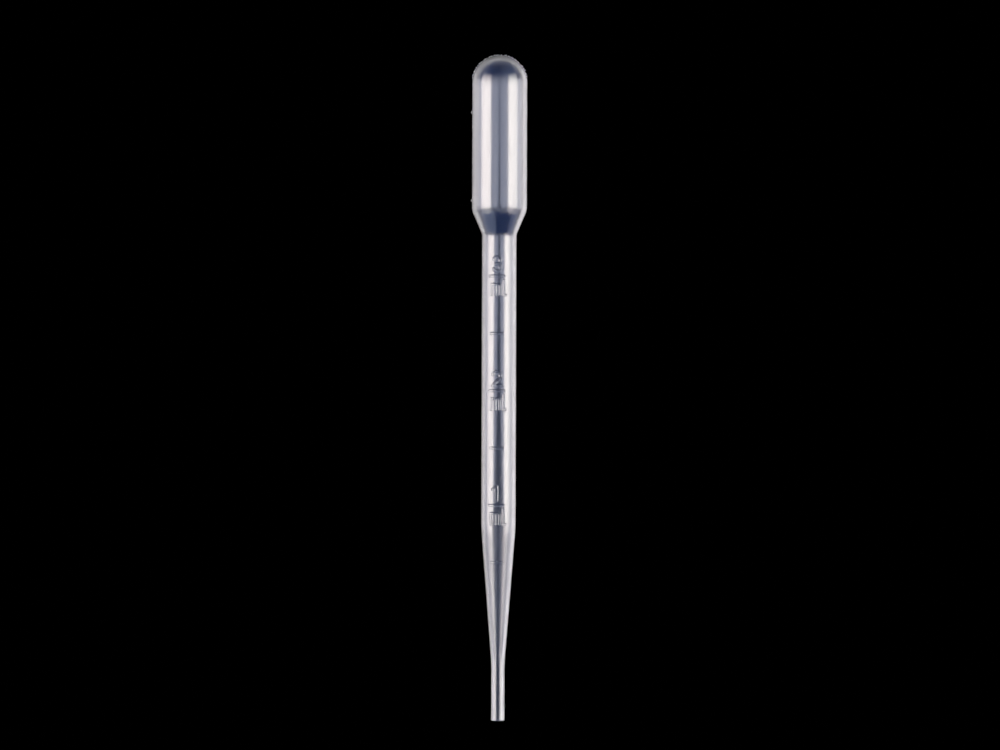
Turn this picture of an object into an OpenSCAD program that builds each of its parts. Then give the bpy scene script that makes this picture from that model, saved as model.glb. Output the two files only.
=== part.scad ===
// Graduated 3 mL transfer pipette, a single hollow moulding in low-density polyethylene.
// Lengths are in millimetres. The origin is the centre of the open tip, +Z runs up the axis to
// the bulb, -Y faces the reader of the scale, and the bulb is pinched along X.
// The one moulding is divided into its working zones: tip tube, taper, barrel, shoulder, bulb
// wall, the two walls that a thumb and a finger push in, the dome, and the relief on the surface.

/* [Stem] */
// Outside diameter of the graduated barrel
barrel_d = 8.05; // [7.8:0.05:8.4]
// Outside diameter of the tip tube
tip_d = 3.1; // [2.8:0.1:3.6]
// Inside diameter of the tip tube
tip_bore_d = 2.0; // [1.6:0.1:2.2]
// Length of the straight tip tube
tip_l = 13.6; // [10:0.1:20]
// Length of the taper between the tip tube and the barrel
taper_l = 31.3; // [28:0.1:36]
// Length of the straight barrel
barrel_l = 68.25; // [66:0.25:80]

/* [Bulb] */
// Outside diameter of the bulb
bulb_d = 12.8; // [12:0.1:14]
// Wall thickness of the bulb
bulb_wall = 0.45; // [0.35:0.05:0.5]
// Height of the cone between the barrel and the bulb
shoulder_h = 5.45; // [4.5:0.05:8]
// Length from the top of that cone to the top of the dome
bulb_l = 36.1; // [34:0.1:44]

/* [Squeeze walls] */
// Height of each moving wall
squeeze_l = 15; // [12:0.5:16]
// Width of each moving wall
squeeze_w = 6.2; // [5:0.1:6.2]
// Gap between a moving wall and the wall round it
squeeze_gap = 0.04; // [0.02:0.01:0.1]

/* [Scale] */
// Height of the lowest mark above the tip
first_mark_z = 36.85; // [34:0.05:40]
// Distance from one mark to the next
mark_pitch = 13.3; // [13:0.05:13.6]
// Volume between two marks, in millilitres
mark_step_ml = 0.5; // [0.5:0.01:0.52]
// How far the marks and figures stand out
relief = 0.16; // [0.1:0.02:0.2]
// Height of a figure
figure_h = 3.85; // [3.4:0.05:4.2]
// Height of the unit letters
unit_h = 3.0; // [2.6:0.1:3.2]
// Width of the strokes of a figure
stroke_w = 0.62; // [0.5:0.02:0.7]

/* [Parting line] */
// How far the parting line stands out along the stem and bulb
parting_h = 0.08; // [0.05:0.01:0.12]
// Width of the parting line
parting_w = 0.22; // [0.16:0.02:0.3]
// How far the trimmed flash round the dome stands out
flash_h = 0.32; // [0.2:0.02:0.4]
// Width of the trimmed flash
flash_w = 0.42; // [0.3:0.02:0.6]

/* [Hidden] */
$fn = 96;

clear_plastic = [0.86, 0.89, 0.93, 0.55];
frosted_plastic = [0.93, 0.95, 0.97, 0.75];

// Heights of the bends in the outline, and of the ends of the zones
taper_z = tip_l;
barrel_z = taper_z + taper_l;
shoulder_z = barrel_z + barrel_l;
bulb_z = shoulder_z + shoulder_h;
top_z = bulb_z + bulb_l;
dome_z = top_z - bulb_d / 2;
squeeze_z = (bulb_z + dome_z) / 2;

// The barrel's bore holds one scale step between two marks
barrel_bore_d = 2 * sqrt(1000 * mark_step_ml / (PI * mark_pitch));

// Facets round the outline where the parting line is cut to it
seam_facets = 384;

// Radii that round the four bends of the outline
tip_bend_r = 45;
taper_bend_r = 60;
neck_bend_r = 2.2;
bulb_bend_r = 4.5;
bend_steps = 6;

// Each bend: radius from the axis, height, rounding radius
outer_bends = [
    [tip_d / 2, taper_z, tip_bend_r],
    [barrel_d / 2, barrel_z, taper_bend_r],
    [barrel_d / 2, shoulder_z, neck_bend_r],
    [bulb_d / 2, bulb_z, bulb_bend_r]
];
inner_bends = [
    [tip_bore_d / 2, taper_z, tip_bend_r],
    [barrel_bore_d / 2, barrel_z, taper_bend_r],
    [barrel_bore_d / 2, shoulder_z, neck_bend_r],
    [bulb_d / 2 - bulb_wall, bulb_z, bulb_bend_r]
];

taper_slope = atan((barrel_d - tip_d) / 2 / taper_l);
shoulder_slope = atan((bulb_d - barrel_d) / 2 / shoulder_h);
tip_tube_top = taper_z - tip_bend_r * tan(taper_slope / 2);
barrel_bottom = barrel_z + taper_bend_r * tan(taper_slope / 2);
barrel_top = shoulder_z - neck_bend_r * tan(shoulder_slope / 2);
shoulder_top = bulb_z + bulb_bend_r * tan(shoulder_slope / 2);

function unit_vector(v) = v / norm(v);
function flat(p) = [p[0], p[1]];

// Points of the arc that rounds bend b between its neighbours a and c
function rounded(a, b, c) =
    let (
        to_a = unit_vector(flat(a) - flat(b)),
        to_c = unit_vector(flat(c) - flat(b)),
        half = acos(to_a * to_c) / 2,
        centre = flat(b) + unit_vector(to_a + to_c) * b[2] / sin(half),
        from = flat(b) + to_a * b[2] / tan(half) - centre,
        to = flat(b) + to_c * b[2] / tan(half) - centre,
        sweep = 180 - 2 * half
    )
    [for (i = [0:bend_steps])
        centre + (from * sin(sweep * (1 - i / bend_steps)) + to * sin(sweep * i / bend_steps))
            / sin(sweep)];

// The half outline of the moulding from z = low up to z = dome_z, closed along the axis
function outline(bends, low) =
    let (
        knots = concat([[bends[0][0], low, 0]], bends, [[bends[3][0], dome_z, 0]])
    )
    concat(
        [[0, low], flat(knots[0])],
        [for (i = [1:4]) each rounded(knots[i - 1], knots[i], knots[i + 1])],
        [flat(knots[5]), [0, dome_z]]
    );

// The solid inside the outer surface grown by a small amount, from the tip to the dome's equator
module outer_form(grow = 0) {
    grown = [for (b = outer_bends) [b[0] + grow, b[1], b[2]]];
    rotate_extrude() polygon(outline(grown, 0));
}

// The hollow inside the wall, run past the open tip
module bore_form() {
    rotate_extrude() polygon(outline(inner_bends, -1));
}

module slab(low, high) {
    translate([0, 0, low]) cylinder(h = high - low, r = bulb_d);
}

// The moulding's wall between two heights
module wall(low, high) {
    difference() {
        intersection() {
            outer_form();
            slab(low, high);
        }
        bore_form();
    }
}

// ---- Zones of the stem ----

module tip_tube() {
    color(clear_plastic) difference() {
        cylinder(h = tip_tube_top, d = tip_d);
        translate([0, 0, -1]) cylinder(h = tip_tube_top + 2, d = tip_bore_d);
    }
}

module taper() {
    color(clear_plastic) wall(tip_tube_top, barrel_bottom);
}

module barrel() {
    color(clear_plastic) translate([0, 0, barrel_bottom]) difference() {
        cylinder(h = barrel_top - barrel_bottom, d = barrel_d);
        translate([0, 0, -1]) cylinder(h = barrel_top - barrel_bottom + 2, d = barrel_bore_d);
    }
}

module shoulder() {
    color(clear_plastic) wall(barrel_top, shoulder_top);
}

// ---- Zones of the bulb ----

// A prism along X with round ends, which outlines the moving walls
module squeeze_prism(shrink) {
    straight = squeeze_l - squeeze_w;
    translate([0, 0, squeeze_z]) rotate([0, 90, 0]) linear_extrude(bulb_d, center = true) {
        square([straight, squeeze_w - 2 * shrink], center = true);
        for (end = [-1, 1])
            translate([end * straight / 2, 0]) circle(d = squeeze_w - 2 * shrink);
    }
}

module bulb_tube() {
    translate([0, 0, shoulder_top]) difference() {
        cylinder(h = dome_z - shoulder_top, d = bulb_d);
        translate([0, 0, -1]) cylinder(h = dome_z - shoulder_top + 2, d = bulb_d - 2 * bulb_wall);
    }
}

module bulb_wall() {
    color(clear_plastic) difference() {
        bulb_tube();
        squeeze_prism(0);
    }
}

// side is -1 for the left wall and 1 for the right
module squeeze_wall(side) {
    color(clear_plastic) intersection() {
        union() {
            bulb_tube();
            parting_rib(shoulder_top, dome_z);
        }
        squeeze_prism(squeeze_gap);
        translate([side * bulb_d / 2, 0, squeeze_z]) cube([bulb_d, bulb_d, bulb_l], center = true);
    }
}

module left_squeeze_wall() {
    squeeze_wall(-1);
}

module right_squeeze_wall() {
    squeeze_wall(1);
}

module bulb_dome() {
    color(clear_plastic) translate([0, 0, dome_z]) intersection() {
        difference() {
            sphere(d = bulb_d);
            sphere(d = bulb_d - 2 * bulb_wall);
        }
        cylinder(h = bulb_d, d = bulb_d + 1);
    }
}

// ---- Parting line of the mould halves, in the XZ plane ----

// A low flat-topped rib that stands on the outer surface on both sides, between two heights
module parting_rib(low, high) {
    grown = [for (b = outer_bends) [b[0] + parting_h, b[1], b[2]]];
    difference() {
        intersection() {
            rotate([90, 0, 0]) linear_extrude(parting_w, center = true)
                for (side = [0, 1]) mirror([side, 0]) polygon(outline(grown, 0));
            slab(low, high);
        }
        outer_form($fn = seam_facets);
    }
}

module stem_parting_line() {
    color(frosted_plastic) parting_rib(0, shoulder_top);
}

module bulb_parting_line() {
    color(frosted_plastic) difference() {
        parting_rib(shoulder_top, dome_z);
        squeeze_prism(0);
    }
}

module dome_trim_flash() {
    color(frosted_plastic) translate([0, 0, dome_z]) difference() {
        intersection() {
            sphere(d = bulb_d + 2 * flash_h);
            translate([0, 0, bulb_d / 2]) cube([2 * bulb_d, flash_w, bulb_d], center = true);
        }
        sphere(d = bulb_d);
    }
}

// Two small nubs of flash on the left of the bulb, below and above the moving wall
module mould_nubs() {
    nub_d = 1.1;
    nub_out = 0.24;
    sunk = 0.2;
    color(frosted_plastic) difference() {
        for (z = [bulb_z + 2.4, dome_z - 6.8])
            translate([-bulb_d / 2 - nub_out, 0, z]) rotate([0, 90, 0])
                cylinder(h = nub_out + sunk, d1 = nub_d / 3, d2 = nub_d);
        outer_form();
        parting_rib(shoulder_top, dome_z);
    }
}

// ---- Scale ----

// Turns a flat drawing, seen from the front, into relief on the outer surface
module raised(height = relief) {
    difference() {
        intersection() {
            outer_form(height);
            rotate([90, 0, 0]) linear_extrude(bulb_d) children();
        }
        outer_form();
    }
}

// A straight stroke with round ends
module bar(from, to, width = stroke_w) {
    run = to - from;
    translate(from) rotate(atan2(run[1], run[0])) {
        translate([0, -width / 2]) square([norm(run), width]);
        circle(d = width);
        translate([norm(run), 0]) circle(d = width);
    }
}

// A curved stroke with round ends, between two angles less than 360 degrees apart
module arc(centre, r, from, to, width = stroke_w) {
    reach = 2 * r;
    sector = [for (i = [0:8]) reach * [cos(from + (to - from) * i / 8), sin(from + (to - from) * i / 8)]];
    translate(centre) {
        intersection() {
            difference() {
                circle(r = r + width / 2);
                circle(r = r - width / 2);
            }
            polygon(concat([[0, 0]], sector));
        }
        for (angle = [from, to])
            translate(r * [cos(angle), sin(angle)]) circle(d = width);
    }
}

function mark_z(step) = first_mark_z + (step - 1) * mark_pitch;

module mark(step, width) {
    line_w = 0.5;
    color(frosted_plastic) raised()
        translate([0, mark_z(step)]) bar([-width / 2, 0], [width / 2, 0], line_w);
}

// Length of a mark between the centres of its round ends
major_mark_w = 3.35;
minor_mark_w = 2.75;

module mark_0_5_ml() {
    mark(1, minor_mark_w);
}

module mark_1_0_ml() {
    mark(2, major_mark_w);
}

module mark_1_5_ml() {
    mark(3, minor_mark_w);
}

module mark_2_0_ml() {
    mark(4, major_mark_w);
}

module mark_2_5_ml() {
    mark(5, minor_mark_w);
}

module mark_3_0_ml() {
    mark(6, major_mark_w);
}

figure_gap = 0.86;
loop_r = (figure_h - stroke_w) / 4;

// Stands a figure, drawn about its own centre, on the mark of a whole number of millilitres
module figure(millilitres) {
    color(frosted_plastic) raised()
        translate([0, mark_z(2 * millilitres) + figure_gap + figure_h / 2]) children();
}

module figure_1() {
    top = 2 * loop_r;
    figure(1) {
        bar([0.1, -top], [0.1, top]);
        bar([0.1, top], [-0.85, top - 0.75]);
    }
}

module figure_2() {
    foot = -2 * loop_r;
    shoulder_r = 1.15 * loop_r;
    centre = [0, 2 * loop_r - shoulder_r];
    lean = -38;
    figure(2) {
        arc(centre, shoulder_r, lean, 165);
        bar(centre + shoulder_r * [cos(lean), sin(lean)], [-shoulder_r, foot]);
        bar([-shoulder_r, foot], [1.2 * shoulder_r, foot]);
    }
}

module figure_3() {
    figure(3) {
        arc([0, loop_r], loop_r, -90, 155);
        arc([0, -loop_r], loop_r, -155, 90);
        bar([-0.25, 0], [0, 0]);
    }
}

// The unit letters hang under the mark of a whole number of millilitres: an m, then a taller L
module unit(millilitres) {
    unit_gap = 1.6;
    thin = 0.44;
    tall = unit_h - thin;
    arch_r = 0.515;
    m_left = -1.3;
    l_left = 1.62;
    l_tall = tall + 0.9;
    l_foot = 0.42;
    color(frosted_plastic) raised()
        translate([0, mark_z(2 * millilitres) - unit_gap - unit_h + thin / 2]) {
            bar([m_left, 0], [m_left, tall], thin);
            for (i = [0, 1]) {
                right = m_left + 2 * arch_r * (i + 1);
                arc([right - arch_r, tall - arch_r], arch_r, 0, 180, thin);
                bar([right, 0], [right, tall - arch_r], thin);
            }
            bar([l_left, 0], [l_left, l_tall], thin);
            bar([l_left, 0], [l_left + l_foot, 0], thin);
        }
}

module unit_1() {
    unit(1);
}

module unit_2() {
    unit(2);
}

module unit_3() {
    unit(3);
}

tip_tube();
taper();
barrel();
shoulder();
bulb_wall();
bulb_dome();
left_squeeze_wall();
right_squeeze_wall();
stem_parting_line();
bulb_parting_line();
dome_trim_flash();
mould_nubs();
mark_0_5_ml();
mark_1_0_ml();
mark_1_5_ml();
mark_2_0_ml();
mark_2_5_ml();
mark_3_0_ml();
figure_1();
figure_2();
figure_3();
unit_1();
unit_2();
unit_3();
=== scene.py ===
"""A see-through, blow-moulded transfer pipette, held upright in front of a dark studio."""

import math

import bpy
import numpy as np
from mathutils import Matrix, Vector, noise


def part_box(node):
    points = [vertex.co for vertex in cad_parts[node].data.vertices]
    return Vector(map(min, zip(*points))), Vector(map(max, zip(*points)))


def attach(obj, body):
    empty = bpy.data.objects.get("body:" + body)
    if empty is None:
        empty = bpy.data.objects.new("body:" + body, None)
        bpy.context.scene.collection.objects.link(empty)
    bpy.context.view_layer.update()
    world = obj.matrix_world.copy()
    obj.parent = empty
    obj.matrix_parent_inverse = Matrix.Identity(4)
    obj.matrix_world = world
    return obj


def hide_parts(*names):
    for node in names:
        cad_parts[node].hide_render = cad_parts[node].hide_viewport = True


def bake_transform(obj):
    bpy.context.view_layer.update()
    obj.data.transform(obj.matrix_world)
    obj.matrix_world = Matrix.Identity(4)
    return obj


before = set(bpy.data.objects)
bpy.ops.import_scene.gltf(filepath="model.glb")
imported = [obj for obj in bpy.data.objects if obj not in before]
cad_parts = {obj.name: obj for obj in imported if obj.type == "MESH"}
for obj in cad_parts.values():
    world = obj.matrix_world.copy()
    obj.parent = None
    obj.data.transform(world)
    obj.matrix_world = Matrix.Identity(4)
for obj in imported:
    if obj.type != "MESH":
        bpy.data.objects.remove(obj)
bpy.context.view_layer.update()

MM = 0.001

# ---- Sizes ----------------------------------------------------------------------------------
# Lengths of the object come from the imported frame. The sizes that the frame can't state, such
# as the radii of the bends, are named here, in metres.


def reach(node, axis):
    """The lowest and highest coordinate of a CAD node along one axis."""
    low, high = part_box(node)
    return low[axis], high[axis]


TIP_R = reach("tip_tube", 1)[1]
BARREL_R = reach("barrel", 1)[1]
BULB_R = reach("bulb_wall", 1)[1]
TIP_TOP = reach("tip_tube", 2)[1]
BARREL_LOW, BARREL_HIGH = reach("barrel", 2)
BULB_LOW, BULB_HIGH = reach("bulb_wall", 2)

TIP_WALL = 0.55 * MM
BARREL_WALL = 0.57 * MM
BULB_WALL = 0.45 * MM

TIP_BEND = 45 * MM
TAPER_BEND = 60 * MM
NECK_BEND = 2.2 * MM
BULB_BEND = 4.5 * MM
TIP_ROUND = 0.22 * MM

# Heights of the six marks, from the lowest to the highest
MARK_Z = [
    sum(reach(f"mark_{name}_ml", 2)) / 2
    for name in ("0_5", "1_0", "1_5", "2_0", "2_5", "3_0")
]
MAJOR_Z = MARK_Z[1::2]

# Raised marks, figures and letters: height, half width of a stroke, and width of its soft edge
RELIEF = 0.16 * MM
FIGURE_STROKE = 0.31 * MM
MARK_STROKE = 0.25 * MM
LETTER_STROKE = 0.22 * MM
SOFT_EDGE = 0.13 * MM

# The parting line, how much of its height it keeps on the stem, and the trimmed flash on the dome
PARTING_H = 0.07 * MM
PARTING_W = 0.13 * MM
STEM_SEAM = 0.4
FLASH_H = 0.3 * MM
FLASH_W = 0.26 * MM
# How far a point stands out before it counts as flash
FLASH_EDGE = 0.04 * MM

# Slight waviness of the inner face: how far in and out it goes, and the size of a wave
WAVE_H = 0.008 * MM
WAVE_SIZE = 3.2 * MM


# ---- Outline of the wall --------------------------------------------------------------------


def s_curve(z, low, high, low_bend, high_bend):
    """Radius at height z of a cone from low to high, each (radius, height), with rounded ends."""
    rise, run = high[0] - low[0], high[1] - low[1]
    bends = low_bend + high_bend
    straight = math.sqrt((rise - bends) ** 2 + run**2 - bends**2)
    slope = math.atan2(bends, straight) - math.atan2(bends - rise, run)
    z = np.clip(z, low[1], high[1])
    up, down = z - low[1], high[1] - z
    lower = low[0] + low_bend - np.sqrt(np.maximum(low_bend**2 - up**2, 0))
    upper = high[0] - high_bend + np.sqrt(np.maximum(high_bend**2 - down**2, 0))
    start = low_bend * (1 - math.cos(slope)) + low[0]
    cone = start + (up - low_bend * math.sin(slope)) * math.tan(slope)
    in_lower = up < low_bend * math.sin(slope)
    in_upper = down < high_bend * math.sin(slope)
    return np.where(in_lower, lower, np.where(in_upper, upper, cone))


def wall_radius(z, inset):
    """Radius of the stem and bulb at height z. inset is 0 outside, and 1 on the inner face."""
    tip = TIP_R - inset * TIP_WALL
    barrel = BARREL_R - inset * BARREL_WALL
    bulb = BULB_R - inset * BULB_WALL
    taper = s_curve(z, (tip, TIP_TOP), (barrel, BARREL_LOW), TIP_BEND, TAPER_BEND)
    shoulder = s_curve(z, (barrel, BARREL_HIGH), (bulb, BULB_LOW), NECK_BEND, BULB_BEND)
    return np.where(z < (BARREL_LOW + BARREL_HIGH) / 2, taper, shoulder)


# ---- Relief on the outside ------------------------------------------------------------------


def smooth_step(low, high, value):
    t = np.clip((value - low) / (high - low), 0, 1)
    return t * t * (3 - 2 * t)


def to_segment(x, z, a, b):
    """Distance from (x, z) to the straight stroke from a to b."""
    ax, az = x - a[0], z - a[1]
    bx, bz = b[0] - a[0], b[1] - a[1]
    t = np.clip((ax * bx + az * bz) / (bx * bx + bz * bz), 0, 1)
    return np.hypot(ax - t * bx, az - t * bz)


def to_arc(x, z, centre, r, start, end):
    """Distance from (x, z) to an arc that runs anticlockwise from start to end, in degrees."""
    dx, dz = x - centre[0], z - centre[1]
    angle = np.degrees(np.arctan2(dz, dx))
    turn = (angle - start) % 360
    on_arc = np.abs(np.hypot(dx, dz) - r)
    ends = [
        np.hypot(dx - r * math.cos(math.radians(a)), dz - r * math.sin(math.radians(a)))
        for a in (start, end)
    ]
    return np.where(turn <= end - start, on_arc, np.minimum(*ends))


def stroke(distance, half_width):
    """Height of a raised stroke with soft edges."""
    return RELIEF * (1 - smooth_step(half_width - SOFT_EDGE, half_width + SOFT_EDGE, distance))


def figure_one(x, z, r):
    stem = to_segment(x, z, (0.1 * MM, -2 * r), (0.1 * MM, 2 * r))
    flag = to_segment(x, z, (0.1 * MM, 2 * r), (-0.85 * MM, 2 * r - 0.75 * MM))
    return np.minimum(stem, flag)


def figure_two(x, z, r):
    head_r, lean = 1.15 * r, -38
    head = (0, 2 * r - head_r)
    bend = (
        head_r * math.cos(math.radians(lean)),
        head[1] + head_r * math.sin(math.radians(lean)),
    )
    foot = (-head_r, -2 * r)
    parts = [
        to_arc(x, z, head, head_r, lean, 165),
        to_segment(x, z, bend, foot),
        to_segment(x, z, foot, (1.2 * head_r, -2 * r)),
    ]
    return np.minimum.reduce(parts)


def figure_three(x, z, r):
    parts = [
        to_arc(x, z, (0, r), r, -90, 155),
        to_arc(x, z, (0, -r), r, -155, 90),
        to_segment(x, z, (-0.25 * MM, 0), (0, 0)),
    ]
    return np.minimum.reduce(parts)


# The unit letters: radius of an arch of the m, and where the m and the L stand
ARCH_R = 0.515 * MM
M_LEFT = -1.3 * MM
M_TALL = 2.56 * MM
L_LEFT = 1.62 * MM
L_FOOT = 0.42 * MM


def unit_letters(x, z, l_tall):
    """An m and a taller L, whose feet stand at z = 0."""
    spring = M_TALL - ARCH_R
    parts = [
        to_segment(x, z, (M_LEFT, 0), (M_LEFT, M_TALL)),
        to_segment(x, z, (L_LEFT, 0), (L_LEFT, l_tall)),
        to_segment(x, z, (L_LEFT, 0), (L_LEFT + L_FOOT, 0)),
    ]
    for leg in (1, 2):
        right = M_LEFT + 2 * ARCH_R * leg
        parts.append(to_segment(x, z, (right, 0), (right, spring)))
        parts.append(to_arc(x, z, (right - ARCH_R, spring), ARCH_R, 0, 180))
    return np.minimum.reduce(parts)


def scale_relief(x, z):
    """Height of the marks, figures and letters, seen from the front."""
    raised = np.zeros_like(x)
    for i, mark_z in enumerate(MARK_Z):
        node = f"mark_{(i + 1) // 2}_{5 * ((i + 1) % 2)}_ml"
        half = reach(node, 0)[1] - MARK_STROKE
        mark = to_segment(x, z - mark_z, (-half, 0), (half, 0))
        raised = np.maximum(raised, stroke(mark, MARK_STROKE))
    for number, (mark_z, figure) in enumerate(
        zip(MAJOR_Z, (figure_one, figure_two, figure_three)), start=1
    ):
        low, high = reach(f"figure_{number}", 2)
        loop_r = (high - low - 2 * FIGURE_STROKE) / 4
        outline = figure(x, z - (low + high) / 2, loop_r)
        raised = np.maximum(raised, stroke(outline, FIGURE_STROKE))
        low, high = reach(f"unit_{number}", 2)
        letters = unit_letters(x, z - low - LETTER_STROKE, high - low - 2 * LETTER_STROKE)
        raised = np.maximum(raised, stroke(letters, LETTER_STROKE))
    return raised


def wobble(x, y, z, size, seed):
    """Smooth noise from -1 to 1 at each point, drawn out along the axis."""
    shift = Vector((seed, 2 * seed, 3 * seed))
    return np.array(
        [
            noise.noise(Vector((a / size, b / size, c / (3 * size))) + shift)
            for a, b, c in zip(np.ravel(x), np.ravel(y), np.ravel(z))
        ]
    ).reshape(np.shape(x))


# The two nubs on the left of the bulb: height, how far each stands out, and how wide it spreads
NUBS = [
    (BULB_LOW + 1.45 * MM, 0.31 * MM, 0.6 * MM),
    (BULB_HIGH - 6.8 * MM, 0.33 * MM, 0.65 * MM),
]


def outer_relief(angle, r, z):
    """How far the outer face stands out of the plain outline."""
    x, y = r * np.cos(angle), r * np.sin(angle)
    front = y < 0
    raised = np.where(front, scale_relief(x, z), 0)
    seam = PARTING_H * np.exp(-((y / PARTING_W) ** 2))
    on_bulb = smooth_step(BARREL_HIGH, BULB_LOW, z)
    seam = seam * (STEM_SEAM + (1 - STEM_SEAM) * on_bulb)
    raised = np.maximum(raised, seam * (0.8 + 0.2 * np.sin(z / MM * 0.9)))
    for height, out, spread in NUBS:
        away = np.hypot(y, z - height)
        nub = out * np.exp(-((away / spread * 1.6) ** 2))
        raised = np.maximum(raised, np.where(x < 0, nub, 0))
    return raised


# ---- Meshes ---------------------------------------------------------------------------------


def spread(start, end, step):
    """Evenly spaced values from start to end, no further apart than step."""
    count = max(2, math.ceil((end - start) / step - 1e-9) + 1)
    return np.linspace(start, end, count)


def merge(*groups):
    """Sorted values without near repeats."""
    values = np.sort(np.concatenate(groups))
    keep = np.concatenate([[True], np.diff(values) > 1e-7])
    return values[keep]


def refined(values, dense, step):
    """values, with the stretches listed in dense filled at a finer step instead."""
    outside = np.ones(len(values), bool)
    for low, high in dense:
        outside &= (values < low) | (values > high)
    ends = values[[0, -1]]
    fills = [
        spread(max(low, ends[0]), min(high, ends[1]), step)
        for low, high in dense
        if low < ends[1] and high > ends[0]
    ]
    return merge(ends, values[outside], *fills)


# How far inside each end of a piece an extra column or row stands
GUARD_ANGLE = math.radians(0.15)
GUARD = 0.02 * MM
# Angles to either side of the parting line, closer together towards it
FAN_HALF = [0.6, 1.3, 2.0, 2.8, 4.2, 6.5, 9]
PARTING_FAN = np.radians([-a for a in reversed(FAN_HALF)] + [0] + FAN_HALF)
# Other columns are left out this near to the parting line
FAN_CLEAR = math.radians(10)


def with_parting_line(angles):
    """angles round a full turn, with the parting line's own on the right and on the left."""
    turned = np.abs(angles)
    angles = angles[(turned > FAN_CLEAR) & (turned < math.pi - FAN_CLEAR)]
    left = PARTING_FAN + math.pi
    left = np.where(left > math.pi, left - 2 * math.pi, left)
    return merge(angles, PARTING_FAN, left)


# Steps between the stem's columns, and how far the scale reaches to either side, in degrees
STEM_STEP = 4.0
SCALE_STEP = 0.7
SCALE_HALF = 37


def stem_columns():
    """Angles round the stem: close together over the scale and at the parting line."""
    coarse = np.radians(np.arange(-180, 180, STEM_STEP))
    scale = math.radians(-90 - SCALE_HALF), math.radians(-90 + SCALE_HALF)
    return with_parting_line(refined(coarse, [scale], math.radians(SCALE_STEP)))


def guarded(values, gap):
    """values, with one more close to each end, so that shading meets the next piece."""
    return merge(values, [values[0] + gap, values[-1] - gap])


def surface_points(angles, radii, heights):
    """An array of points, rows by columns, on a surface given by its radius at each."""
    x = radii * np.cos(angles)
    y = radii * np.sin(angles)
    return np.stack([x, y, np.broadcast_to(heights, x.shape)], axis=-1)


def build_mesh(name, points, faces, inner_from, caps):
    """A smooth mesh whose outer faces use slot 0, its inner faces slot 1 and its caps slot 2."""
    mesh = bpy.data.meshes.new(name)
    everything = faces + caps
    mesh.from_pydata([tuple(p) for p in points], [], everything)
    slots = [0] * inner_from + [1] * (len(faces) - inner_from) + [2] * len(caps)
    mesh.polygons.foreach_set("material_index", slots)
    mesh.polygons.foreach_set("use_smooth", [s != 2 for s in slots])
    mesh.update()
    obj = bpy.data.objects.new(name, mesh)
    bpy.context.scene.collection.objects.link(obj)
    return obj


def grid_faces(offset, rows, columns, closed, flip):
    """Quads over a grid of points. closed joins the last column to the first."""
    faces = []
    for i in range(rows - 1):
        for j in range(columns if closed else columns - 1):
            k = (j + 1) % columns
            a, b = offset + i * columns + j, offset + i * columns + k
            c, d = b + columns, a + columns
            faces.append((a, d, c, b) if flip else (a, b, c, d))
    return faces


def ring_faces(outer, inner, columns, closed, flip):
    """Quads that join a row of the outer face to a row of the inner face."""
    faces = []
    for j in range(columns if closed else columns - 1):
        k = (j + 1) % columns
        quad = (outer + j, outer + k, inner + k, inner + j)
        faces.append(quad[::-1] if flip else quad)
    return faces


def tube(name, angles, outer, inner, closed=True, open_end=False):
    """A piece of wall between its outer and inner faces, closed by caps where it meets others.

    outer and inner are arrays of points, rows from low to high by columns.
    open_end is True where the lowest ring is a real end, not a join.
    """
    rows, columns = outer.shape[:2]
    inner_rows = inner.shape[0]
    points = np.concatenate([outer.reshape(-1, 3), inner.reshape(-1, 3)])
    base = rows * columns
    faces = grid_faces(0, rows, columns, closed, False)
    low_ring = ring_faces(0, base, columns, closed, True)
    top = (rows - 1) * columns
    inner_top = base + (inner_rows - 1) * columns
    caps = ring_faces(top, inner_top, columns, closed, False)
    if open_end:
        faces += low_ring
    else:
        caps += low_ring
    inner_from = len(faces)
    faces += grid_faces(base, inner_rows, columns, closed, True)
    if not closed:
        for i in range(rows - 1):
            a, b = i * columns, (i + 1) * columns
            caps.append((a, b, base + b, base + a))
            a, b = a + columns - 1, b + columns - 1
            caps.append((b, a, base + a, base + b))
    return build_mesh(name, points, faces, inner_from, caps)


def wall_points(angles, heights, inset):
    """Points on the outer (inset 0) or inner (inset 1) face, with its relief or waviness."""
    z = heights[:, None] + 0 * angles
    angle = angles + 0 * z
    r = wall_radius(z, inset)
    x, y = r * np.cos(angle), r * np.sin(angle)
    if inset:
        thin = np.clip(r / BARREL_R, 0.3, 1)
        r = r + WAVE_H * thin * wobble(x, y, z, WAVE_SIZE, 5)
    else:
        r = r + outer_relief(angle, r, z)
    return surface_points(angle, r, z)


# Stretches of the stem that carry the scale, where rows are close together
SCALE_BANDS = [(z - 4.75 * MM, z + 4.95 * MM) for z in MAJOR_Z]
SCALE_BANDS += [(z - 0.45 * MM, z + 0.45 * MM) for z in MARK_Z[0::2]]
FINE = 0.05 * MM


def stem_piece(name, low, high, step):
    angles = stem_columns()
    heights = guarded(refined(spread(low, high, step), SCALE_BANDS, FINE), GUARD)
    inner_heights = guarded(spread(low, high, max(step, 0.8 * MM)), GUARD)
    return tube(
        name,
        angles,
        wall_points(angles, heights, 0),
        wall_points(angles, inner_heights, 1),
    )


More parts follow.
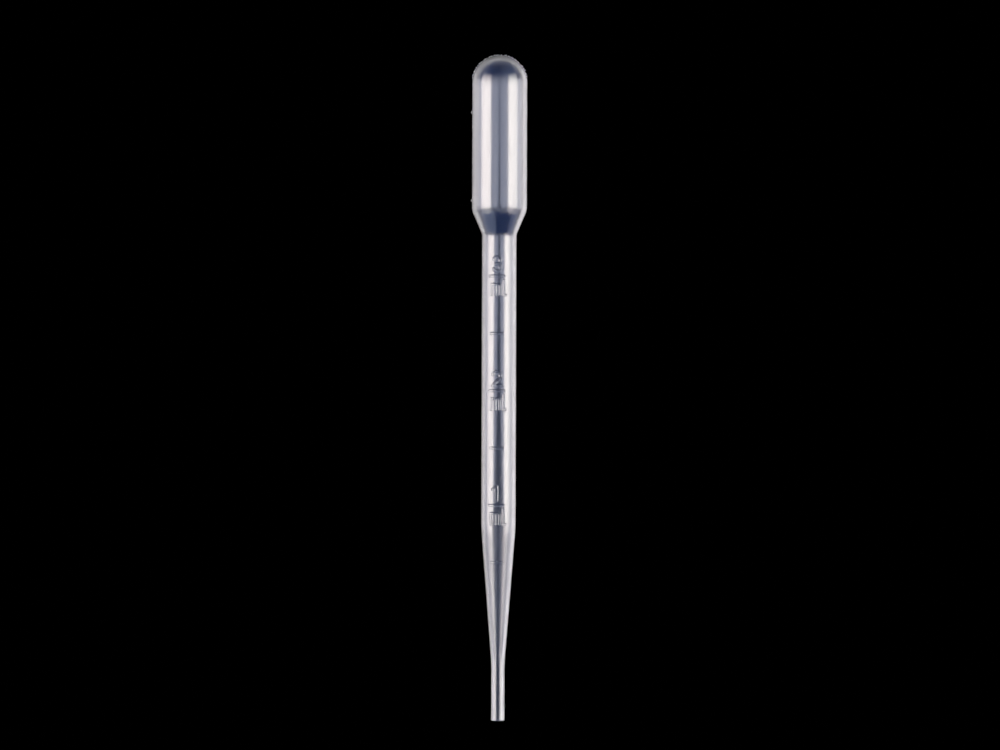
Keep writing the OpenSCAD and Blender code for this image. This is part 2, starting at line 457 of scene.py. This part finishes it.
def tip_piece(name):
    """The tip tube, whose open end is slightly rounded inside and out."""
    angles = stem_columns()
    heights = guarded(spread(TIP_ROUND, TIP_TOP, 0.8 * MM), GUARD)
    outer = wall_points(angles, heights, 0)
    inner = wall_points(angles, heights, 1)

    def rounded(ring, side):
        rows = []
        for turn in np.radians([90, 68, 45, 22]):
            r = np.hypot(ring[:, 0], ring[:, 1])
            scale = (r - side * TIP_ROUND * (1 - math.cos(turn))) / r
            row = ring * scale[:, None]
            row[:, 2] = TIP_ROUND * (1 - math.sin(turn))
            rows.append(row)
        return np.array(rows)

    outer = np.concatenate([rounded(outer[0], 1), outer])
    inner = np.concatenate([rounded(inner[0], -0.6), inner])
    return tube(name, angles, outer, inner, open_end=True)


def bulb_half(name, side):
    """The left (side -1) or right (side 1) half of the bulb's cylinder."""
    middle = 0 if side > 0 else math.pi
    quarter = math.pi / 2
    angles = spread(-quarter, quarter, math.radians(1.5))
    angles = angles[np.abs(angles) > math.radians(9.5)]
    angles = guarded(merge(angles, PARTING_FAN), GUARD_ANGLE) + middle
    near_nubs = [(z - 0.9 * MM, z + 0.9 * MM) for z, _, _ in NUBS]
    heights = spread(BULB_LOW, BULB_HIGH, 0.35 * MM)
    heights = guarded(refined(heights, near_nubs, 0.1 * MM), GUARD)
    outer = wall_points(angles, heights, 0)
    inner = wall_points(angles, heights, 1)
    obj = tube(name, angles, outer, inner, closed=False)
    return obj, np.abs(np.cos(angles)), heights


def pinch(obj, heights):
    """Bakes the placement of half of the bulb into its mesh. It works out a weight that falls to
    none at the ends, but bends nothing.
    """
    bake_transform(obj)
    ends = smooth_step(BULB_LOW, BULB_LOW + 1 * MM, heights)
    ends = ends * (1 - smooth_step(BULB_HIGH - 1 * MM, BULB_HIGH, heights))


def ragged(x, seed):
    """Uneven height of the trimmed flash along the dome, from 0.1 to 1.5."""
    coarse = np.array([noise.noise(Vector((v / (0.9 * MM), seed, 0))) for v in np.ravel(x)])
    fine = np.array([noise.noise(Vector((v / (0.28 * MM), seed, 7))) for v in np.ravel(x)])
    return np.clip(0.6 + 0.9 * coarse + 1.5 * fine, 0.1, 1.5).reshape(np.shape(x))


def on_flash(point):
    """True for a point of the dome's outer face that lies on the trimmed flash."""
    out = (point - Vector((0, 0, BULB_HIGH))).length - BULB_R
    return out > FLASH_EDGE and abs(point.y) < FLASH_W


def dome_piece(name):
    """The closed round end, with the trimmed flash standing out of it."""
    angles = with_parting_line(np.radians(np.arange(-180, 180, 3.0)))
    tilt = guarded(spread(0, math.radians(89), math.radians(1.1)), math.radians(0.1))

    def shell(radius, relief):
        up = tilt[:, None] + 0 * angles
        x = np.cos(up) * np.cos(angles)
        y = np.cos(up) * np.sin(angles)
        z = np.sin(up)
        r = radius + 0 * x
        if relief:
            along = radius * np.arctan2(z, x)
            lean = 0.05 * MM * np.sin(along / (1.7 * MM))
            bump = np.exp(-(((radius * y - lean) / (FLASH_W / 1.5)) ** 2))
            r = r + FLASH_H * bump * ragged(along, 3) * smooth_step(-0.02, 0.3, z)
            r = np.maximum(r, radius + PARTING_H * np.exp(-((radius * y / PARTING_W) ** 2)))
        return np.stack([r * x, r * y, BULB_HIGH + r * z], axis=-1)

    outer, inner = shell(BULB_R, True), shell(BULB_R - BULB_WALL, False)
    rows, columns = outer.shape[:2]
    crown = float(np.hypot(outer[-1, :, 0], outer[-1, :, 1]).max())
    top = outer[-1].mean(axis=0) + np.array([0, 0, crown * 0.01])
    inner_top = inner[-1].mean(axis=0) + np.array([0, 0, crown * 0.01])
    points = np.concatenate([outer.reshape(-1, 3), inner.reshape(-1, 3), [top, inner_top]])
    base = rows * columns
    faces = grid_faces(0, rows, columns, True, False)
    last = (rows - 1) * columns
    faces += [(last + j, last + (j + 1) % columns, 2 * base) for j in range(columns)]
    inner_from = len(faces)
    faces += grid_faces(base, rows, columns, True, True)
    faces += [
        (base + last + (j + 1) % columns, base + last + j, 2 * base + 1) for j in range(columns)
    ]
    caps = ring_faces(0, base, columns, True, True)
    return build_mesh(name, points, faces, inner_from, caps)


# ---- Materials ------------------------------------------------------------------------------


class Nodes:
    """Short calls for building a node tree."""

    def __init__(self, tree):
        self.tree = tree
        tree.nodes.clear()

    def add(self, kind, inputs=None, **settings):
        node = self.tree.nodes.new(kind)
        for key, value in settings.items():
            setattr(node, key, value)
        for key, value in (inputs or {}).items():
            if isinstance(value, bpy.types.NodeSocket):
                self.tree.links.new(value, node.inputs[key])
            else:
                node.inputs[key].default_value = value
        return node

    def math(self, operation, a, b=0.0, c=0.0):
        inputs = {0: a, 1: b, 2: c}
        return self.add("ShaderNodeMath", inputs, operation=operation).outputs[0]

    def mapped(self, value, low, high, to_low, to_high, smooth=True):
        inputs = {0: value, 1: low, 2: high, 3: to_low, 4: to_high}
        kind = "SMOOTHSTEP" if smooth else "LINEAR"
        node = self.add("ShaderNodeMapRange", inputs, interpolation_type=kind)
        return node.outputs[0]

    def noise(self, vector, scale, detail=3.0):
        inputs = {"Vector": vector, "Scale": scale, "Detail": detail}
        return self.add("ShaderNodeTexNoise", inputs).outputs["Fac"]

    def stretched(self, vector, scale):
        inputs = {"Vector": vector, "Scale": scale}
        return self.add("ShaderNodeMapping", inputs).outputs["Vector"]


# Index of the plastic under its clear coat. The real plastic's is about 1.51.
BODY_INDEX = 1.4
COAT_ROUGHNESS = 0.03


def plastic(name, roughness, shine, haze, gloss=1.0):
    """Natural low-density polyethylene: clear, faintly cloudy, with drawn-out moulding streaks.

    shine is the index of the clear coat, which carries the mirror-like reflections, and gloss
    is how much of it there is.
    """
    material = bpy.data.materials.new(name)
    material.use_nodes = True
    n = Nodes(material.node_tree)
    place = n.add("ShaderNodeTexCoord").outputs["Object"]
    streaks = n.noise(n.stretched(place, (1.0, 1.0, 0.03)), 1500, 2.0)
    clouds = n.noise(n.stretched(place, (1.0, 1.0, 0.4)), 260, 4.0)
    peel = n.noise(place, 1800, 2.0)
    tint = n.add(
        "ShaderNodeMix",
        {0: clouds, 6: (0.965, 0.965, 0.97, 1), 7: (0.985, 0.985, 0.985, 1)},
        data_type="RGBA",
    ).outputs[2]
    rough = n.mapped(streaks, 0.35, 0.65, roughness, roughness * 1.12)
    clear = n.mapped(clouds, 0.3, 0.7, 1 - haze * 1.4, 1 - haze * 0.6)
    height = n.math("ADD", n.math("MULTIPLY", peel, 0.35), n.math("MULTIPLY", streaks, 0.65))
    bump = n.add(
        "ShaderNodeBump", {"Strength": 0.06, "Distance": 0.02 * MM, "Height": height}
    ).outputs["Normal"]
    shader = n.add(
        "ShaderNodeBsdfPrincipled",
        {
            "Base Color": tint,
            "Roughness": rough,
            "IOR": BODY_INDEX,
            "Transmission Weight": clear,
            "Coat Weight": gloss,
            "Coat Roughness": COAT_ROUGHNESS,
            "Coat IOR": shine,
            "Specular Tint": (0, 0, 0, 1),
            "Normal": bump,
            "Coat Normal": bump,
        },
    )
    n.add("ShaderNodeOutputMaterial", {"Surface": shader.outputs[0]})
    return material


def join_material():
    """Invisible faces that close a piece where the wall runs on into the next one."""
    material = bpy.data.materials.new("wall_join")
    material.use_nodes = True
    n = Nodes(material.node_tree)
    shader = n.add("ShaderNodeBsdfPrincipled", {"Alpha": 0.0, "Roughness": 0.5})
    n.add("ShaderNodeOutputMaterial", {"Surface": shader.outputs[0]})
    material.surface_render_method = "BLENDED"
    return material


# ---- The pipette ----------------------------------------------------------------------------

outer_face = plastic("ldpe_outer_face", roughness=0.28, shine=1.9, haze=0.0006)
inner_face = plastic("ldpe_inner_face", roughness=0.09, shine=1.7, haze=0.0006)
torn_flash = plastic("ldpe_torn_flash", roughness=0.5, shine=1.5, haze=0.003, gloss=0.3)
wall_join = join_material()


def finish_piece(obj, body, nodes):
    """Gives a piece its materials and its body, where one is given, and hides the CAD nodes that
    it replaces.
    """
    for material in (outer_face, inner_face, wall_join):
        obj.data.materials.append(material)
    if body:
        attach(obj, body)
    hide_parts(*nodes)


finish_piece(tip_piece("tip_tube_skin"), "moulding", ["tip_tube", "stem_parting_line"])
finish_piece(
    stem_piece("taper_skin", TIP_TOP, BARREL_LOW, 0.6 * MM),
    "moulding",
    ["taper", "mark_0_5_ml", "unit_1"],
)
BARREL_CUTS = [BARREL_LOW, MARK_Z[2] - 2 * MM, MARK_Z[4] - 2 * MM, BARREL_HIGH]
for i, nodes in enumerate(
    (
        ["barrel", "figure_1", "mark_1_0_ml"],
        ["figure_2", "unit_2", "mark_1_5_ml", "mark_2_0_ml"],
        ["figure_3", "unit_3", "mark_2_5_ml", "mark_3_0_ml"],
    )
):
    skin = stem_piece(f"barrel_skin_{i + 1}", BARREL_CUTS[i], BARREL_CUTS[i + 1], 1.0 * MM)
    finish_piece(skin, "moulding", nodes)
finish_piece(
    stem_piece("shoulder_skin", BARREL_HIGH, BULB_LOW, 0.14 * MM), "moulding", ["shoulder"]
)
for name, side, wall, nodes in (
    ("bulb_left_half", -1, "left_wall", ["left_squeeze_wall", "bulb_wall", "mould_nubs"]),
    ("bulb_right_half", 1, "right_wall", ["right_squeeze_wall", "bulb_parting_line"]),
):
    half, across, heights = bulb_half(name, side)
    pinch(half, heights)
    finish_piece(half, None, nodes)
dome = dome_piece("dome_skin")
finish_piece(dome, "moulding", ["bulb_dome", "dome_trim_flash"])
dome.data.materials.append(torn_flash)
for face in dome.data.polygons:
    if face.material_index == 0 and on_flash(face.center):
        face.material_index = 3

# ---- Studio ---------------------------------------------------------------------------------

CAMERA_AZIMUTH = 7.4
CAMERA_DISTANCE = 1.6
# Width at the object that fills the frame, where the frame's centre looks, and the camera's roll
FRAME_W = 232.6 * MM
AIM = Vector((0.29 * MM, 0, 80.4 * MM))
CAMERA_ROLL = 0.18


def make_camera():
    data = bpy.data.cameras.new("camera")
    data.sensor_width = 36
    data.lens = data.sensor_width * CAMERA_DISTANCE / FRAME_W
    data.clip_start = 0.05
    data.clip_end = 20
    camera = bpy.data.objects.new("camera", data)
    turn = math.radians(CAMERA_AZIMUTH)
    back = Vector((math.sin(turn), -math.cos(turn), 0))
    right = Vector((math.cos(turn), math.sin(turn), 0))
    aim = right * AIM.x + Vector((0, 0, AIM.z))
    look = (-back).to_track_quat("-Z", "Y").to_matrix().to_4x4()
    roll = Matrix.Rotation(math.radians(CAMERA_ROLL), 4, "Z")
    camera.matrix_world = Matrix.Translation(aim + back * CAMERA_DISTANCE) @ look @ roll
    bpy.context.scene.collection.objects.link(camera)
    bpy.context.scene.camera = camera


def sky_angles(n):
    """The angles that say where a light stands, in degrees, as three sockets.

    azimuth is from the camera, positive to its right, height is above the horizon, and
    off_axis is the angle away from the camera.
    """
    direction = n.add("ShaderNodeTexCoord").outputs["Generated"]
    x, y, z = n.add("ShaderNodeSeparateXYZ", {0: direction}).outputs
    azimuth = n.math("ARCTAN2", x, n.math("MULTIPLY", y, -1.0))
    azimuth = n.math("MULTIPLY", azimuth, 180 / math.pi)
    azimuth = n.math("SUBTRACT", azimuth, CAMERA_AZIMUTH)
    azimuth = n.math("WRAP", azimuth, 180.0, -180.0)
    height = n.math("MULTIPLY", n.math("ARCSINE", z), 180 / math.pi)
    turn = math.radians(CAMERA_AZIMUTH)
    to_camera = (math.sin(turn), -math.cos(turn), 0)
    facing = n.add(
        "ShaderNodeVectorMath", {0: direction, 1: to_camera}, operation="DOT_PRODUCT"
    ).outputs["Value"]
    off_axis = n.math("MULTIPLY", n.math("ARCCOSINE", facing), 180 / math.pi)
    return azimuth, height, off_axis


def studio_light(n, azimuth, height, off_axis):
    """Two tall soft boxes on the camera's side, dimmer light beside and below the object, a
    ring behind it, a thin arc overhead, and navy over the rest of the camera's side.
    """

    def band(value, low, high, soft_low, soft_high):
        rise = n.mapped(value, low - soft_low, low + soft_low, 0.0, 1.0)
        fall = n.mapped(value, high - soft_high, high + soft_high, 1.0, 0.0)
        return n.math("MULTIPLY", rise, fall)

    def tinted(mask, colour):
        return n.add(
            "ShaderNodeVectorMath", {0: colour, "Scale": mask}, operation="SCALE"
        ).outputs[0]

    def panel(colour, az_low, az_high, soft_low, soft_high, low=-10, high=24, soft=(6, 15)):
        """An upright panel between two azimuths and two heights, with soft edges."""
        across = band(azimuth, az_low, az_high, soft_low, soft_high)
        upright = band(height, low, high, *soft)
        return tinted(n.math("MULTIPLY", across, upright), colour)

    def ring(colour, low, high, soft_low, soft_high, right, overhead):
        """A ring round the camera's axis. right and overhead are its strength on those sides."""
        side = n.mapped(azimuth, -60.0, 60.0, 0.78, right)
        side = n.math("MULTIPLY", side, n.mapped(height, 3.0, 38.0, 1.0, overhead))
        return tinted(
            n.math("MULTIPLY", side, band(off_axis, low, high, soft_low, soft_high)), colour
        )

    ahead = n.mapped(off_axis, 100, 114, 1.0, 0.0)
    behind = n.mapped(off_axis, 95, 110, 0.0, 1.0)
    over = n.mapped(height, 15, 40, 0.0, 1.0)
    lights = [
        # The left and right soft boxes, and the dimmer light between them
        panel((3.42, 3.07, 2.94), -83, -36, 1.5, 1.5, low=-9),
        panel((3.52, 3.38, 3.12), 39, 82, 1.5, 2, low=-7),
        panel((0.721, 0.747, 0.865), -36, 39, 1.5, 1.5),
        # Beside the object: one on the left, two on the right
        panel((1.1, 1.05, 1.12), -112, -83, 4, 1.5, low=-5, high=13, soft=(6, 8)),
        panel((1.83, 1.79, 1.8), 82, 99, 2, 3, high=13, soft=(6, 8)),
        panel((1.39, 1.36, 1.39), 99, 112, 3, 4, high=13, soft=(6, 8)),
        # Below the object, where the shoulder's underside faces
        panel((0.351, 0.403, 0.52), -95, -24, 5, 1.5, -62, -28, (4, 4)),
        panel((0.195, 0.221, 0.312), 64, 110, 2, 5, -62, -28, (4, 4)),
        panel((0.546, 0.52, 0.52), -100, -36, 6, 4, -34, -18, (4, 4)),
        panel((0.546, 0.52, 0.52), 39, 95, 4, 6, -34, -18, (4, 4)),
        tinted(n.math("MULTIPLY", behind, band(height, -34, -18, 4, 4)), (0.36, 0.35, 0.36)),
        # Behind the object, where the walls near the outline reflect it
        ring((1.31, 1.25, 1.29), 115, 131, 3, 5, 1.05, 0.1),
        ring((0.821, 0.799, 0.821), 131, 155, 5, 6, 1.35, 0.2),
        # The thin arc overhead, which the dome reflects
        tinted(n.math("MULTIPLY", band(off_axis, 113, 121, 2, 2), over), (1.0, 1.0, 1.05)),
        tinted(ahead, (0.031, 0.068, 0.223)),
    ]
    total = lights[-1]
    for light in lights[:-1]:
        total = n.add(
            "ShaderNodeVectorMath", {0: light, 1: total}, operation="ADD"
        ).outputs[0]
    return total


def after_reflection(n):
    """1 for a ray that has been reflected since the camera, and 0 for one seen straight.

    A ray that only passes through the see-through wall finds no light, so what stands behind
    the wall is always dark, whichever side it is seen from.
    """
    path = n.add("ShaderNodeLightPath")
    bounced = n.math("ADD", path.outputs["Glossy Depth"], path.outputs["Diffuse Depth"])
    straight = n.math(
        "SUBTRACT", path.outputs["Transmission Depth"], n.math("MULTIPLY", bounced, 99.0)
    )
    reflected = n.math("LESS_THAN", straight, 0.5)
    not_seen = n.math("SUBTRACT", 1.0, path.outputs["Is Camera Ray"])
    return n.math("MULTIPLY", reflected, not_seen)


def make_world():
    """The studio, as light from all round that only reflections can see."""
    world = bpy.data.worlds.new("studio")
    world.cycles.sampling_method = "MANUAL"
    world.cycles.sample_map_resolution = 1024
    bpy.context.scene.world = world
    world.use_nodes = True
    n = Nodes(world.node_tree)
    light = studio_light(n, *sky_angles(n))
    background = n.add("ShaderNodeBackground", {"Color": light, "Strength": after_reflection(n)})
    n.add("ShaderNodeOutputWorld", {"Surface": background.outputs[0]})


# Fitted corners of the dark card: the height on the object in metres that reflects each
# one, and the card's half width there in degrees. It is widest at the foot of the taper.
DARK_GAP = [
    (-0.10, 43.0), (0.006, 43.0), (0.013, 54.0), (0.022, 53.0), (0.030, 44.0),
    (0.040, 37.0), (0.052, 28.0), (0.062, 20.0), (0.070, 14.0), (0.095, 10.0),
    (0.111, 6.0), (0.118, 3.4), (0.132, 2.6), (0.142, 1.4), (0.150, 0.4),
]
CARD_DISTANCE = 0.5
CARD_GLOW = (0.111, 0.138, 0.223, 1)


def make_dark_card():
    """A dark card in front of the camera, wide at its foot, that only reflections can see.

    A mirror-like wall at height z shows the card at the height where the camera's line of
    sight, turned back by the wall, meets it.
    """
    rise = CARD_DISTANCE / CAMERA_DISTANCE
    edge = [
        (CARD_DISTANCE * math.tan(math.radians(a)), z + (z - AIM.z) * rise) for z, a in DARK_GAP
    ]
    outline = edge + [(-w, z) for w, z in reversed(edge)]
    turn = math.radians(CAMERA_AZIMUTH)
    right = Vector((math.cos(turn), math.sin(turn), 0))
    centre = Vector((math.sin(turn), -math.cos(turn), 0)) * CARD_DISTANCE
    mesh = bpy.data.meshes.new("dark_card")
    points = [centre + right * w + Vector((0, 0, z)) for w, z in outline]
    count = len(outline)
    faces = [(i, i + 1, count - 2 - i, count - 1 - i) for i in range(len(edge) - 1)]
    mesh.from_pydata(points, [], faces)
    card = bpy.data.objects.new("dark_card", mesh)
    bpy.context.scene.collection.objects.link(card)
    card.visible_camera = False
    material = bpy.data.materials.new("dark_card")
    material.use_nodes = True
    n = Nodes(material.node_tree)
    shader = n.add("ShaderNodeEmission", {"Color": CARD_GLOW, "Strength": 1.0})
    n.add("ShaderNodeOutputMaterial", {"Surface": shader.outputs[0]})
    mesh.materials.append(material)


FLOOR_R = 85 * MM
FLOOR_DROP = 14 * MM
FLOOR_THICK = 6 * MM
FLOOR_SIDES = 96
# Share of the floor's colour left for a ray that was reflected on its way there
FLOOR_REFLECTED = 0.12


def make_floor():
    """A pale round table top below the main view's frame, hidden from mirror-like reflections."""
    steps = FLOOR_SIDES
    under = FLOOR_DROP + FLOOR_THICK
    ring = [
        (FLOOR_R * math.cos(a), FLOOR_R * math.sin(a))
        for a in np.linspace(0, 2 * math.pi, steps, endpoint=False)
    ]
    points = [(x, y, -FLOOR_DROP) for x, y in ring] + [(x, y, -under) for x, y in ring]
    faces = [tuple(range(steps)), tuple(range(2 * steps - 1, steps - 1, -1))]
    faces += [(i, i + steps, (i + 1) % steps + steps, (i + 1) % steps) for i in range(steps)]
    mesh = bpy.data.meshes.new("floor")
    mesh.from_pydata(points, [], faces)
    floor = bpy.data.objects.new("floor", mesh)
    bpy.context.scene.collection.objects.link(floor)
    material = bpy.data.materials.new("pale_floor")
    material.use_nodes = True
    n = Nodes(material.node_tree)
    place = n.add("ShaderNodeTexCoord").outputs["Object"]
    grain = n.noise(place, 300, 3.0)
    colour = n.add(
        "ShaderNodeMix",
        {0: grain, 6: (0.71, 0.71, 0.71, 1), 7: (0.77, 0.77, 0.765, 1)},
        data_type="RGBA",
    ).outputs[2]
    bounced = n.add("ShaderNodeLightPath").outputs["Glossy Depth"]
    seen = n.mapped(bounced, 0.0, 1.0, 1.0, FLOOR_REFLECTED, smooth=False)
    shown = n.add("ShaderNodeVectorMath", {0: colour, "Scale": seen}, operation="SCALE").outputs[0]
    shader = n.add("ShaderNodeBsdfPrincipled", {"Base Color": shown, "Roughness": 0.7})
    n.add("ShaderNodeOutputMaterial", {"Surface": shader.outputs[0]})
    mesh.materials.append(material)
    floor.visible_glossy = False


def make_top_light():
    """A wide soft light overhead that only the floor takes, so the wall reflects no ceiling."""
    data = bpy.data.lights.new("top_light", "AREA")
    data.shape = "DISK"
    data.size = 1.2
    data.energy = 10
    data.color = (1.0, 0.97, 0.89)
    light = bpy.data.objects.new("top_light", data)
    light.location = (0, 0, 1.1)
    bpy.context.scene.collection.objects.link(light)
    light.visible_camera = False
    light.visible_glossy = False
    light.visible_transmission = False


make_camera()
make_world()
make_dark_card()
make_floor()
make_top_light()

scene = bpy.context.scene
scene.view_settings.view_transform = "Standard"
scene.cycles.max_bounces = 24
scene.cycles.transmission_bounces = 20
scene.cycles.glossy_bounces = 12
scene.cycles.transparent_max_bounces = 24
scene.cycles.caustics_reflective = True
scene.cycles.caustics_refractive = True
scene.cycles.blur_glossy = 0.0
scene.cycles.use_denoising = True
